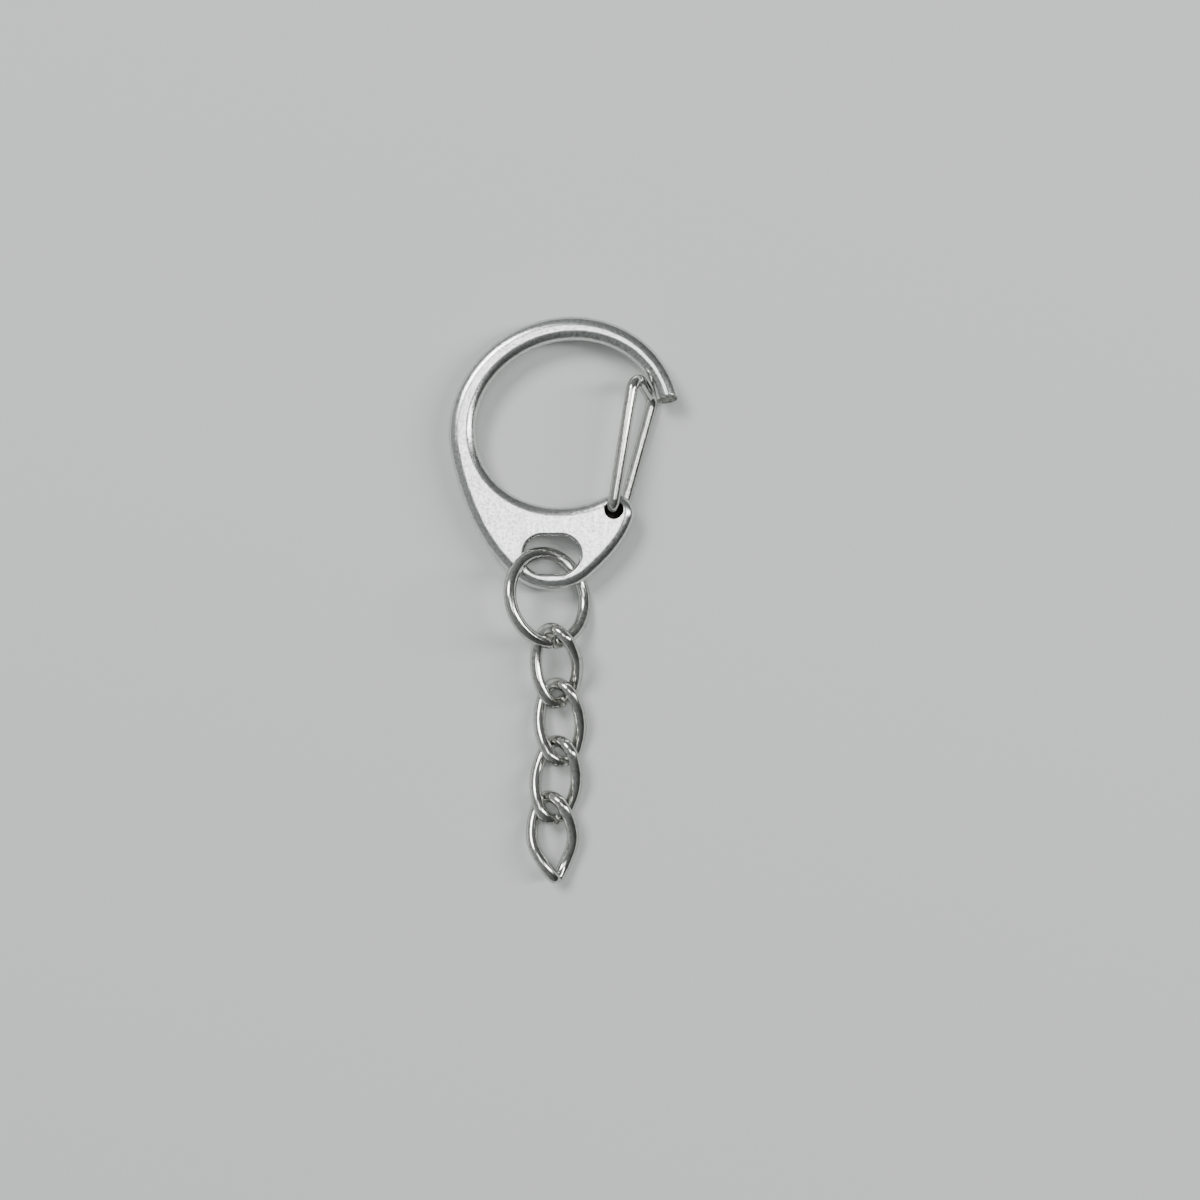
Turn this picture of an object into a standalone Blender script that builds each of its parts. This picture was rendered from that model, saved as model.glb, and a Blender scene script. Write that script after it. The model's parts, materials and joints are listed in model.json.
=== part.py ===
# Key clip: a flat D-shaped snap hook with a bent-wire gate, a jump ring and four curb chain links.
#
# Lengths are in metres. The clip lies flat, hook end towards +Y and front face up, as on a table.
# Sizes come first, then the shared tools, then one function for each piece, then the assembly.
# Places on the hook are measured from the middle of its loop, at half the plate's thickness.

from math import atan2, ceil, cos, pi, radians, sin, sqrt, tan

import bmesh
import bpy
from mathutils import Euler, Matrix, Vector

# Hook plate and the ellipse of its loop
PLATE_THICKNESS = 0.0021
EDGE_ROUND_share = 0.43
SLOT_RIM_WIDTH = 0.0005
TIP_RIM_WIDTH = 0.0001
LOOP_LONG_RADIUS = 0.00978
LOOP_SHORT_RADIUS = 0.00863
LOOP_LEAN = radians(20.8)

# Arm round the loop: its outer edge is a second ellipse, a little turned and shifted
ARM_SIDE_WIDTH = 0.00257
ARM_CROWN_WIDTH = 0.00275
ARM_SHIFT_X = -0.00025
ARM_SHIFT_Y = -0.00034
ARM_LEAN = radians(25.8)

# Angles round the ellipses where the tip is cut off and where the foot begins
TIP_OUTER_ANGLE = radians(-10.7)
TIP_INNER_ANGLE = radians(-5.4)
TIP_OVERRUN_ANGLE = radians(-25)
TIP_SLANT = radians(17)
ARM_BACK_ANGLE = radians(168)
LOOP_FOOT_ANGLE = radians(-86)

# Foot of the hook: the slot, the web above it, the bar below it, the heel and the nose
SLOT_LENGTH = 0.0059
SLOT_WIDTH = 0.0040
SLOT_X = -0.00159
WEB_WIDTH = 0.0030
BAR_WIDTH = 0.0017
HEEL_RADIUS = 0.0061
HEEL_START_ANGLE = radians(229)
HEEL_END_ANGLE = radians(312)
NOSE_RADIUS = 0.0020
NOSE_START_ANGLE = radians(-22)
NOSE_END_ANGLE = radians(112)
NOSE_SHIFT_X = -0.00019
NOSE_SHIFT_Y = -0.00016

# Hinge: its axis beside the loop, the wire ends to either side of it, and the blind holes round them
HINGE_ANGLE = radians(-82.4)
HINGE_WALL = 0.00199
PIN_OFFSET_X = 0.00044
PIN_OFFSET_Y = 0.00042
HOLE_RADIUS = 0.00097
HOLE_DEPTH = 0.0010
HOLE_EASE_X = 0.00012
HOLE_EASE_Y = 0.00018

# Wire gate
GATE_WIRE = 0.0012
GATE_FACE_GAP = 0.0002
GATE_END_GAP = 0.00025
GATE_KNEE_RADIUS = 0.0009
GATE_BOW_RADIUS = 0.0012
FRONT_BOW_ANGLE = radians(17.9)
FRONT_BOW_INSET = 0.00087
BACK_BOW_ANGLE = radians(-4.8)
BACK_BOW_INSET = 0.00031

# Jump ring, placed from the middle of the slot
RING_WIRE = 0.0013
RING_RADIUS = 0.00475
RING_SIDE = -0.00043
RING_DROP = 0.00449
RING_LIFT = 0.00088
RING_TURN = radians(16)
RING_TILT = radians(38.5)
RING_GAP = 0.0004

# Chain links: a flat oval of wire, then twisted along its length
LINK_WIRE = 0.00125
LINK_HALF_LENGTH = 0.00415
LINK_HALF_WIDTH = 0.00215
LINK_END_RADIUS = 0.0018
LINK_TWIST = radians(42)
LINK_GAP = 0.0002
OPEN_LINK_GAP = 0.0004
OPEN_LINK_STRETCH_share = 0.08
OPEN_LINK_PINCH_share = 0.55

# How far each link reaches into the piece it hangs on, measured between the middles of their wires
RING_OVERLAP = 0.00177
LINK_OVERLAP = 0.0022

# The axis on which the next link swings: where it crosses a link, and its slope across the wire there
SWING_PLACE_share = 0.92
SWING_ANGLE = radians(54.6)

# How each link lies: its distance below the first as a share of the space between two links, its
# place to the side and upwards as shares of its half width, and the angles it is turned and raised by
LINK_PLACE_shares = (
    {"below": 0, "side": 0.434, "up": -0.284, "turn": radians(5.4), "raised": radians(19.3)},
    {"below": 0.990, "side": 0.573, "up": -0.895, "turn": radians(5), "raised": radians(0.8)},
    {"below": 1.990, "side": 0.384, "up": -0.848, "turn": radians(-4), "raised": radians(-0.4)},
    {"below": 2.948, "side": 0.211, "up": -0.869, "turn": radians(5.1), "raised": radians(-1.1)},
)

# Bare nickel plating
PLATE_COLOUR = (0.70, 0.70, 0.69)
PLATE_ROUGHNESS = 0.22
WIRE_COLOUR = (0.64, 0.64, 0.62)
WIRE_ROUGHNESS = 0.16

# How finely the curved shapes are drawn
OUTLINE_STEP = 0.0008
ROUND_STEPS = 3
WIRE_STEPS = 3
HOLE_SIDES = 24
RING_STEPS = 44
LINK_STEPS = 40
BEND_STEPS = 5
SLOT_RIM_STEPS = 3
TIP_RIM_STEPS = 2
RIM_ANGLE = radians(40)
SHARP_ANGLE = radians(35)
WELD = 0.000002
FLAT_ANGLE = radians(0.5)
CUT_OVERRUN = 0.0010


def clear_scene():
    for item in list(bpy.data.objects):
        bpy.data.objects.remove(item, do_unlink=True)


def new_collection(name):
    collection = bpy.data.collections.new(name)
    bpy.context.scene.collection.children.link(collection)
    return collection


def metal(name, colour, roughness):
    """A bare metal surface for one piece."""
    material = bpy.data.materials.new(name)
    material.use_nodes = True
    shader = material.node_tree.nodes["Principled BSDF"]
    shader.inputs["Base Color"].default_value = (*colour, 1)
    shader.inputs["Metallic"].default_value = 1
    shader.inputs["Roughness"].default_value = roughness
    return material


def ellipse_point(centre, long_radius, short_radius, lean, angle):
    along = long_radius * cos(angle)
    across = short_radius * sin(angle)
    x = centre.x + along * cos(lean) - across * sin(lean)
    y = centre.y + along * sin(lean) + across * cos(lean)
    return Vector((x, y))


def circle_point(centre, radius, angle):
    return Vector((centre.x + radius * cos(angle), centre.y + radius * sin(angle)))


def arc(point_at, start, end):
    """Points along a curve given by point_at(angle), about OUTLINE_STEP apart."""
    middle = (start + end) / 2
    length = (point_at(start) - point_at(middle)).length + (point_at(middle) - point_at(end)).length
    steps = max(2, ceil(length / OUTLINE_STEP))
    return [point_at(start + (end - start) * step / steps) for step in range(steps + 1)]


def blend(before, after):
    """Points on a smooth curve that carries the end of one arc on into the start of the next."""
    start, end = before[-1], after[0]
    reach = (end - start).length / 3
    start_handle = start + (before[-1] - before[-2]).normalized() * reach
    end_handle = end - (after[1] - after[0]).normalized() * reach
    steps = max(2, ceil((end - start).length / OUTLINE_STEP))
    points = []
    for step in range(1, steps):
        t = step / steps
        s = 1 - t
        points.append(start * s**3 + start_handle * 3 * s * s * t + end_handle * 3 * s * t * t + end * t**3)
    return points


def flat_outline(name, points, collection, thickness, rounding=0):
    """A closed outline as a solid plate, its edges rounded inwards on both faces."""
    curve = bpy.data.curves.new(name, "CURVE")
    curve.dimensions = "2D"
    curve.fill_mode = "BOTH"
    curve.extrude = thickness / 2 - rounding
    curve.bevel_depth = rounding
    curve.offset = -rounding
    curve.bevel_resolution = ROUND_STEPS
    spline = curve.splines.new("POLY")
    spline.points.add(len(points) - 1)
    for spline_point, point in zip(spline.points, points):
        spline_point.co = (point.x, point.y, 0, 1)
    spline.use_cyclic_u = True
    drawn = bpy.data.objects.new(name, curve)
    collection.objects.link(drawn)
    return solid_from_curve(drawn, collection)


def solid_from_curve(drawn, collection):
    """A mesh of the curve's solid, each cap welded on as one flat face, in place of the curve."""
    name = drawn.name
    depsgraph = bpy.context.evaluated_depsgraph_get()
    mesh = bpy.data.meshes.new_from_object(drawn.evaluated_get(depsgraph))
    shape = bmesh.new()
    shape.from_mesh(mesh)
    bmesh.ops.remove_doubles(shape, verts=shape.verts, dist=WELD)
    shape.normal_update()
    upwards = Vector((0, 0, 1))
    for facing in (upwards, -upwards):
        cap = [face for face in shape.faces if face.normal.angle(facing) < FLAT_ANGLE]
        bmesh.ops.dissolve_faces(shape, faces=cap)
    bmesh.ops.recalc_face_normals(shape, faces=shape.faces)
    shape.to_mesh(mesh)
    shape.free()
    place = drawn.matrix_world.copy()
    bpy.data.objects.remove(drawn, do_unlink=True)
    mesh.name = name
    solid = bpy.data.objects.new(name, mesh)
    solid.matrix_world = place
    collection.objects.link(solid)
    return solid


def cylinder(name, radius, depth, place, collection):
    shape = bmesh.new()
    bmesh.ops.create_cone(
        shape, cap_ends=True, segments=HOLE_SIDES, radius1=radius, radius2=radius, depth=depth
    )
    mesh = bpy.data.meshes.new(name)
    shape.to_mesh(mesh)
    shape.free()
    solid = bpy.data.objects.new(name, mesh)
    solid.location = place
    collection.objects.link(solid)
    return solid


def cut(solid, cutter):
    cutter.display_type = "WIRE"
    cutter.hide_render = True
    modifier = solid.modifiers.new("cut " + cutter.name, "BOOLEAN")
    modifier.operation = "DIFFERENCE"
    modifier.solver = "EXACT"
    modifier.object = cutter


def round_rims(solid, name, width, steps):
    rims = solid.modifiers.new(name, "BEVEL")
    rims.offset_type = "WIDTH"
    rims.width = width
    rims.segments = steps
    rims.limit_method = "ANGLE"
    rims.angle_limit = RIM_ANGLE
    rims.use_clamp_overlap = False
    rims.loop_slide = False


def wire(name, points, diameter, collection):
    """A round wire along the points, with flat cut ends."""
    curve = bpy.data.curves.new(name, "CURVE")
    curve.dimensions = "3D"
    curve.bevel_depth = diameter / 2
    curve.bevel_resolution = WIRE_STEPS
    curve.use_fill_caps = True
    spline = curve.splines.new("POLY")
    spline.points.add(len(points) - 1)
    for spline_point, point in zip(spline.points, points):
        spline_point.co = (*point, 1)
    spline.use_smooth = True
    piece = bpy.data.objects.new(name, curve)
    collection.objects.link(piece)
    return piece


def bent_path(corners, radii):
    """A path of straight runs through the corners, with a bend of the given radius at each."""
    points = [corners[0]]
    for before, corner, after, radius in zip(corners, corners[1:], corners[2:], radii):
        come = (corner - before).normalized()
        leave = (after - corner).normalized()
        turn = come.angle(leave)
        reach = radius * tan(turn / 2)
        centre = corner + (leave - come).normalized() * (radius / cos(turn / 2))
        start = corner - come * reach - centre
        axis = come.cross(leave)
        for step in range(BEND_STEPS + 1):
            points.append(centre + Matrix.Rotation(turn * step / BEND_STEPS, 3, axis) @ start)
    points.append(corners[-1])
    return points


def set_origin(piece, place):
    """Move the piece's origin to a place in the world, and leave its shape where it is."""
    bpy.context.view_layer.update()
    local = piece.matrix_world.inverted() @ place
    piece.data.transform(Matrix.Translation(-local))
    piece.location = place


def hang(piece, parent):
    bpy.context.view_layer.update()
    piece.parent = parent
    piece.matrix_parent_inverse = parent.matrix_world.inverted()


def smooth(piece):
    for polygon in piece.data.polygons:
        polygon.use_smooth = True
    piece.data.set_sharp_from_angle(angle=SHARP_ANGLE)


# Places that more than one piece needs

def loop_point(angle):
    return ellipse_point(Vector((0, 0)), LOOP_LONG_RADIUS, LOOP_SHORT_RADIUS, LOOP_LEAN, angle)


def arm_point(angle):
    centre = Vector((ARM_SHIFT_X, ARM_SHIFT_Y))
    long_radius = LOOP_LONG_RADIUS + ARM_SIDE_WIDTH
    short_radius = LOOP_SHORT_RADIUS + ARM_CROWN_WIDTH
    return ellipse_point(centre, long_radius, short_radius, ARM_LEAN, angle)


def slot_centre():
    loop_depth = sqrt((LOOP_LONG_RADIUS * sin(LOOP_LEAN)) ** 2 + (LOOP_SHORT_RADIUS * cos(LOOP_LEAN)) ** 2)
    return Vector((SLOT_X, -loop_depth - WEB_WIDTH - SLOT_WIDTH / 2))


def beside_loop(angle, outwards):
    """A point on the line from the loop's middle through its edge, a little way beyond that edge."""
    edge = loop_point(angle)
    return edge + edge.normalized() * outwards


def hinge_point():
    return beside_loop(HINGE_ANGLE, HINGE_WALL)


def pin_point(side):
    """Where the gate's wire end stands: side 1 is the front face, -1 the back."""
    return hinge_point() + Vector((-PIN_OFFSET_X, PIN_OFFSET_Y)) * side


def leg_height():
    """How far the gate's legs lie from the middle of the plate."""
    return PLATE_THICKNESS / 2 + GATE_FACE_GAP + GATE_WIRE / 2


def ring_centre():
    slot = slot_centre()
    return Vector((slot.x + RING_SIDE, slot.y - RING_DROP, RING_LIFT))


def ring_axes():
    """Unit vectors in the ring's plane: towards its top, and towards its low side."""
    turn = Matrix.Rotation(RING_TURN, 3, "Z") @ Matrix.Rotation(RING_TILT, 3, "Y")
    return turn @ Vector((0, 1, 0)), turn @ Vector((1, 0, 0))


def ring_bottom_angle():
    """How far round from the middle of its bottom the ring hangs lowest, and has its gap."""
    top, low_side = ring_axes()
    return atan2(low_side.y, top.y)


def ring_point(angle):
    top, low_side = ring_axes()
    return ring_centre() + (top * cos(angle) + low_side * sin(angle)) * RING_RADIUS


def hook_outline():
    """The hook's outline, from past the tip round the arm, heel and nose, and back round the loop."""
    slot = slot_centre()
    heel = Vector((slot.x, slot.y - SLOT_WIDTH / 2 - BAR_WIDTH + HEEL_RADIUS))
    nose = hinge_point() + Vector((NOSE_SHIFT_X, NOSE_SHIFT_Y))
    stretches = [
        arc(arm_point, TIP_OVERRUN_ANGLE, ARM_BACK_ANGLE),
        arc(lambda angle: circle_point(heel, HEEL_RADIUS, angle), HEEL_START_ANGLE, HEEL_END_ANGLE),
        arc(lambda angle: circle_point(nose, NOSE_RADIUS, angle), NOSE_START_ANGLE, NOSE_END_ANGLE),
        arc(loop_point, LOOP_FOOT_ANGLE, TIP_OVERRUN_ANGLE - 2 * pi),
    ]
    outline = list(stretches[0])
    for before, after in zip(stretches, stretches[1:]):
        outline += blend(before, after) + after

    # Past the tip the outline closes in a half circle, which the tip's cut takes off
    end = (outline[-1] + outline[0]) / 2
    radius = (outline[0] - end).length
    start = atan2(outline[-1].y - end.y, outline[-1].x - end.x)
    outline += arc(lambda angle: circle_point(end, radius, angle), start, start + pi)[1:-1]
    return outline


def make_hook_body(parts, cutters):
    rounding = PLATE_THICKNESS * EDGE_ROUND_share
    body = flat_outline("hook_body", hook_outline(), parts, PLATE_THICKNESS, rounding)

    # Slot for the ring
    slot = slot_centre()
    half_straight = (SLOT_LENGTH - SLOT_WIDTH) / 2
    right_end = slot + Vector((half_straight, 0))
    left_end = slot - Vector((half_straight, 0))
    outline = arc(lambda angle: circle_point(right_end, SLOT_WIDTH / 2, angle), -pi / 2, pi / 2)
    outline += arc(lambda angle: circle_point(left_end, SLOT_WIDTH / 2, angle), pi / 2, 3 * pi / 2)
    through = PLATE_THICKNESS + 2 * CUT_OVERRUN
    cut(body, flat_outline("slot", outline, cutters, through))
    round_rims(body, "rounded slot rims", SLOT_RIM_WIDTH, SLOT_RIM_STEPS)

    # The tip ends in a slanted cut
    outer = arm_point(TIP_OUTER_ANGLE)
    inner = loop_point(TIP_INNER_ANGLE)
    inwards = (inner - outer).normalized()
    middle = (outer + inner) / 2
    reach = 2 * ARM_SIDE_WIDTH
    shape = bmesh.new()
    bmesh.ops.create_cube(shape, size=1)
    bmesh.ops.scale(shape, verts=shape.verts, vec=(reach, reach, 3 * PLATE_THICKNESS))
    bmesh.ops.translate(shape, verts=shape.verts, vec=(0, reach / 2, 0))
    mesh = bpy.data.meshes.new("tip cut")
    shape.to_mesh(mesh)
    shape.free()
    tip_cut = bpy.data.objects.new("tip cut", mesh)
    facing = Matrix(((inwards.x, -inwards.y, 0), (inwards.y, inwards.x, 0), (0, 0, 1)))
    facing = facing @ Matrix.Rotation(TIP_SLANT, 3, "X")
    tip_cut.matrix_world = Matrix.Translation((middle.x, middle.y, PLATE_THICKNESS / 2)) @ facing.to_4x4()
    cutters.objects.link(tip_cut)
    cut(body, tip_cut)

    round_rims(body, "broken tip rim", TIP_RIM_WIDTH, TIP_RIM_STEPS)

    # A blind hole in each face for the gate's wire ends
    for name, side in (("front hinge hole", 1), ("back hinge hole", -1)):
        centre = pin_point(side) + Vector((HOLE_EASE_X, -HOLE_EASE_Y)) * side
        depth = HOLE_DEPTH + CUT_OVERRUN
        height = side * (PLATE_THICKNESS / 2 - HOLE_DEPTH + depth / 2)
        cut(body, cylinder(name, HOLE_RADIUS, depth, Vector((*centre, height)), cutters))

    body.data.materials.append(metal("nickel plate, hook", PLATE_COLOUR, PLATE_ROUGHNESS))
    smooth(body)
    return body


def make_wire_gate(parts):
    height = leg_height()
    hole_floor = PLATE_THICKNESS / 2 - HOLE_DEPTH
    front_foot = Vector((*pin_point(1), height))
    back_foot = Vector((*pin_point(-1), -height))
    front_bow = Vector((*beside_loop(FRONT_BOW_ANGLE, -FRONT_BOW_INSET), height))
    back_bow = Vector((*beside_loop(BACK_BOW_ANGLE, -BACK_BOW_INSET), -height))
    front_end = Vector((*pin_point(1), hole_floor + GATE_END_GAP))
    back_end = Vector((*pin_point(-1), -hole_floor - GATE_END_GAP))
    corners = [front_end, front_foot, front_bow, back_bow, back_foot, back_end]
    radii = [GATE_KNEE_RADIUS, GATE_BOW_RADIUS, GATE_BOW_RADIUS, GATE_KNEE_RADIUS]
    gate = wire("wire_gate", bent_path(corners, radii), GATE_WIRE, parts)
    gate.data.materials.append(metal("nickel wire, gate", WIRE_COLOUR, WIRE_ROUGHNESS))
    set_origin(gate, Vector((*hinge_point(), 0)))
    return gate


def make_jump_ring(parts):
    top, low_side = ring_axes()
    half_gap = RING_GAP / RING_RADIUS / 2
    start = ring_bottom_angle() - pi + half_gap
    points = []
    for step in range(RING_STEPS + 1):
        points.append(ring_point(start + (2 * pi - 2 * half_gap) * step / RING_STEPS))
    ring = wire("jump_ring", points, RING_WIRE, parts)
    ring.data.materials.append(metal("nickel wire, ring", WIRE_COLOUR, WIRE_ROUGHNESS))
    set_origin(ring, ring_centre())
    print("jump_ring rolls about", [round(value, 6) for value in top])
    return ring


def oval_arcs():
    """The bend of a link's long sides: its radius, and the angle to where the end bows begin."""
    end_height = LINK_HALF_LENGTH - LINK_END_RADIUS
    spare = LINK_HALF_WIDTH - LINK_END_RADIUS
    side_radius = (LINK_HALF_WIDTH**2 + end_height**2 - LINK_END_RADIUS**2) / (2 * spare)
    return side_radius, atan2(end_height, side_radius - LINK_HALF_WIDTH)


def oval_length():
    """How much wire half an oval takes, from its lower middle to its upper middle."""
    side_radius, side_angle = oval_arcs()
    return LINK_END_RADIUS * (pi - 2 * side_angle) + 2 * side_radius * side_angle


def oval_point(distance):
    """A point on the flat oval of a link, by distance along its wire from the lower middle."""
    side_radius, side_angle = oval_arcs()
    end_height = LINK_HALF_LENGTH - LINK_END_RADIUS
    end_length = LINK_END_RADIUS * (pi / 2 - side_angle)
    if distance < end_length:
        return circle_point(Vector((0, -end_height)), LINK_END_RADIUS, distance / LINK_END_RADIUS - pi / 2)
    if distance < oval_length() - end_length:
        angle = (distance - end_length) / side_radius - side_angle
        return circle_point(Vector((LINK_HALF_WIDTH - side_radius, 0)), side_radius, angle)
    angle = (distance - oval_length()) / LINK_END_RADIUS + pi / 2
    return circle_point(Vector((0, end_height)), LINK_END_RADIUS, angle)


def link_path(gap, pinch_share, stretch_share):
    """The wire of one link: half an oval and its mirror image, twisted about its length."""
    half_length = oval_length()
    half_steps = LINK_STEPS // 2
    right = []
    for step in range(half_steps + 1):
        distance = gap / 2 + (half_length - gap / 2) * step / half_steps
        flat = oval_point(distance)
        below = max(0, -flat.y / LINK_HALF_LENGTH) ** 2
        x = flat.x * (1 - pinch_share * below)
        y = flat.y * (1 + stretch_share * below)
        right.append(Vector((x, y)))
    left = [Vector((-point.x, point.y)) for point in reversed(right[:-1])]
    points = []
    for flat in right + left:
        twist = LINK_TWIST * flat.y / LINK_HALF_LENGTH
        points.append(Vector((flat.x * cos(twist), flat.y, flat.x * sin(twist))))
    return points


def link_turn(place):
    return Euler((place["raised"], 0, place["turn"])).to_matrix()


def link_centre(place):
    first_drop = RING_RADIUS + LINK_HALF_LENGTH - RING_OVERLAP
    spacing = 2 * LINK_HALF_LENGTH - LINK_OVERLAP
    drop = first_drop + place["below"] * spacing
    return ring_centre() + Vector((place["side"] * LINK_HALF_WIDTH, -drop, place["up"] * LINK_HALF_WIDTH))


def make_chain_links(parts, ring):
    """The four links, each hung from the piece before it by its upper bow."""
    links = []
    top, low_side = ring_axes()
    bottom = ring_bottom_angle()
    pivot = ring_point(bottom + pi)
    axis = low_side * cos(bottom) - top * sin(bottom)
    parent = ring
    for number, place in enumerate(LINK_PLACE_shares, start=1):
        last = number == len(LINK_PLACE_shares)
        if last:
            path = link_path(OPEN_LINK_GAP, OPEN_LINK_PINCH_share, OPEN_LINK_STRETCH_share)
        else:
            path = link_path(LINK_GAP, 0, 0)
        link = wire("chain_link_" + str(number), path, LINK_WIRE, parts)
        link.matrix_world = Matrix.Translation(link_centre(place)) @ link_turn(place).to_4x4()
        link.data.materials.append(metal("nickel wire, link " + str(number), WIRE_COLOUR, WIRE_ROUGHNESS))
        set_origin(link, pivot)
        hang(link, parent)
        print(link.name, "swings about", [round(value, 6) for value in axis])
        links.append(link)
        pivot = link_centre(place) - link_turn(place) @ Vector((0, SWING_PLACE_share * LINK_HALF_LENGTH, 0))
        axis = link_turn(place) @ Vector((cos(SWING_ANGLE), 0, -sin(SWING_ANGLE)))
        parent = link
    return links


def world_bounds(pieces):
    """The lowest and highest corner of all the pieces together."""
    bpy.context.view_layer.update()
    depsgraph = bpy.context.evaluated_depsgraph_get()
    corners = []
    for piece in pieces:
        shown = piece.evaluated_get(depsgraph)
        mesh = shown.to_mesh()
        corners += [shown.matrix_world @ vertex.co for vertex in mesh.vertices]
        shown.to_mesh_clear()
    low = Vector([min(corner[axis] for corner in corners) for axis in range(3)])
    high = Vector([max(corner[axis] for corner in corners) for axis in range(3)])
    return low, high


def make_key_clip():
    clear_scene()
    parts = new_collection("key clip")
    cutters = new_collection("cutters")
    body = make_hook_body(parts, cutters)
    gate = make_wire_gate(parts)
    ring = make_jump_ring(parts)
    links = make_chain_links(parts, ring)
    hang(gate, body)
    hang(ring, body)
    for cutter in cutters.objects:
        hang(cutter, body)

    # Set the clip down on the ground, with the middle of its footprint at the origin
    low, high = world_bounds([body, gate, ring, *links])
    middle = (low + high) / 2
    body.location -= Vector((middle.x, middle.y, low.z))
    bpy.context.view_layer.update()
    for piece in [gate, ring, *links]:
        print(piece.name, "turns at", [round(value, 6) for value in piece.matrix_world.translation])
    print("size", [round(value, 5) for value in high - low])


make_key_clip()
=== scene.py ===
# %% [markdown]
# # A nickel-plated key clip
#
# The object is a flat snap hook with a wire gate. A jump ring passes through its slot, and four
# links of twisted curb chain hang from the ring. All of it is bright metal lying on a pale cloth.
#
# Bright metal has hardly any colour of its own: what we see is the room, bent by its curves. So the
# two things that matter here are smooth surfaces with true curves, and lights placed so that those
# curves have something to reflect.

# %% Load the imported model
import json
from math import atan, atan2, ceil, cos, pi, radians, sin, sqrt, tan

import bmesh
import bpy
from mathutils import Matrix, Vector


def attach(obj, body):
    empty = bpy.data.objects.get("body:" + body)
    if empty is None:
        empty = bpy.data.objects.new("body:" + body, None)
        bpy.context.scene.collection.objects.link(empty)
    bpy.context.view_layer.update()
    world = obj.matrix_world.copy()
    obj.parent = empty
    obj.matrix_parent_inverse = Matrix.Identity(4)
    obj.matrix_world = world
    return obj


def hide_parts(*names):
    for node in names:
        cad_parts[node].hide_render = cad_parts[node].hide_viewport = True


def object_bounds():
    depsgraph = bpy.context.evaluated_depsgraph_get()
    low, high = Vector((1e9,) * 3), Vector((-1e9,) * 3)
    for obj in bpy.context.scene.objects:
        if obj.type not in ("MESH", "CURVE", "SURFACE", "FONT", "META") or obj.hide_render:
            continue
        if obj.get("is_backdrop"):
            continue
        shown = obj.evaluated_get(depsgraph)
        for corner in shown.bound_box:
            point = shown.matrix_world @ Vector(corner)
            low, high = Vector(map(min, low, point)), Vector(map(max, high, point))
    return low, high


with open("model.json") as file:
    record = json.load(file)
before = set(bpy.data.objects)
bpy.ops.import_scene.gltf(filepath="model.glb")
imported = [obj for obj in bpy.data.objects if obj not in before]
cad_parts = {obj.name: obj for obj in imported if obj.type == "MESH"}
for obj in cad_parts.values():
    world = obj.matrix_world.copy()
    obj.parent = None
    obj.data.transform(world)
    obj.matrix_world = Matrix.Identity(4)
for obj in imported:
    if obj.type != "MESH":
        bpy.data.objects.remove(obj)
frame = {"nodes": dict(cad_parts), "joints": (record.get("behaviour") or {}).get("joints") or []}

MM = 0.001
CAD_BOX = [list(corner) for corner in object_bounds()]
JOINTS = {joint["name"]: joint for joint in frame["joints"]}
print("solids:", sorted(frame["nodes"]))
print("joints:", sorted(JOINTS))

# %% [markdown]
# ## Two helpers that everything uses
#
# Colours are easiest to choose as hex values, the way a paint chart gives them. Blender's shaders
# work in linear light, so one function converts them. A second one adds a shader node, sets it up
# and links it in a single call, which keeps each material readable from top to bottom.


# %% Colour and node helpers
def linear(hex_colour):
    """An sRGB hex colour as the linear red, green, blue and alpha that shaders use."""
    channels = []
    for start in (1, 3, 5):
        share = int(hex_colour[start:start + 2], 16) / 255
        if share <= 0.04045:
            channels.append(share / 12.92)
        else:
            channels.append(((share + 0.055) / 1.055) ** 2.4)
    return (*channels, 1)


def add(tree, kind, inputs=None, **settings):
    """A new shader node. An input is either a value or the output socket that feeds it.

    The two colours of a Mix node share their names with its other sockets, so they go by number.
    """
    node = tree.nodes.new(kind)
    for name, value in settings.items():
        setattr(node, name, value)
    for name, value in (inputs or {}).items():
        if isinstance(value, bpy.types.NodeSocket):
            tree.links.new(value, node.inputs[name])
        else:
            node.inputs[name].default_value = value
    return node


MIX_A = 6
MIX_B = 7
MIX_COLOUR = 2
print("mid grey in linear light:", [round(value, 3) for value in linear("#808080")])

# %% [markdown]
# ## Camera
#
# The picture is taken from straight above, from about a hand's length away. At the height of the
# hook's plate the picture is 126 mm wide, so the field of view follows from the camera's height. The
# camera sits a little to the right, because the clip isn't quite in the middle of the picture.

# %% Camera
PLATE_HEIGHT = JOINTS["gate_hinge"]["pos_m"][2]
CAMERA_HEIGHT = 180 * MM
CAMERA_RIGHT = 3.83 * MM
CAMERA_UP = 0.07 * MM
VIEW_WIDTH = 126 * MM
NEAREST = 1 * MM

camera_data = bpy.data.cameras.new("camera")
camera_data.angle = 2 * atan(VIEW_WIDTH / 2 / CAMERA_HEIGHT)
camera_data.clip_start = NEAREST
camera = bpy.data.objects.new("camera", camera_data)
camera.location = (CAMERA_RIGHT, CAMERA_UP, PLATE_HEIGHT + CAMERA_HEIGHT)
bpy.context.scene.collection.objects.link(camera)
bpy.context.scene.camera = camera
print("field of view, degrees:", round(camera_data.angle * 180 / pi, 1))

# %% [markdown]
# ## Floor
#
# The clip lies on a pale grey cloth with a short nap. A plain matte sheet stands in for it: what
# counts is its brightness, because the undersides of the wires mirror it.

# %% Floor
FLOOR_SIZE = 3.0
FLOOR_COLOUR = "#d3d6d4"
CLOTH_ROUGHNESS = 0.95
CLOTH_GLOSS = 0.1

floor_shape = bmesh.new()
bmesh.ops.create_grid(floor_shape, x_segments=1, y_segments=1, size=FLOOR_SIZE / 2)
floor_mesh = bpy.data.meshes.new("floor")
floor_shape.to_mesh(floor_mesh)
floor_shape.free()
floor = bpy.data.objects.new("floor", floor_mesh)
bpy.context.scene.collection.objects.link(floor)

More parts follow.
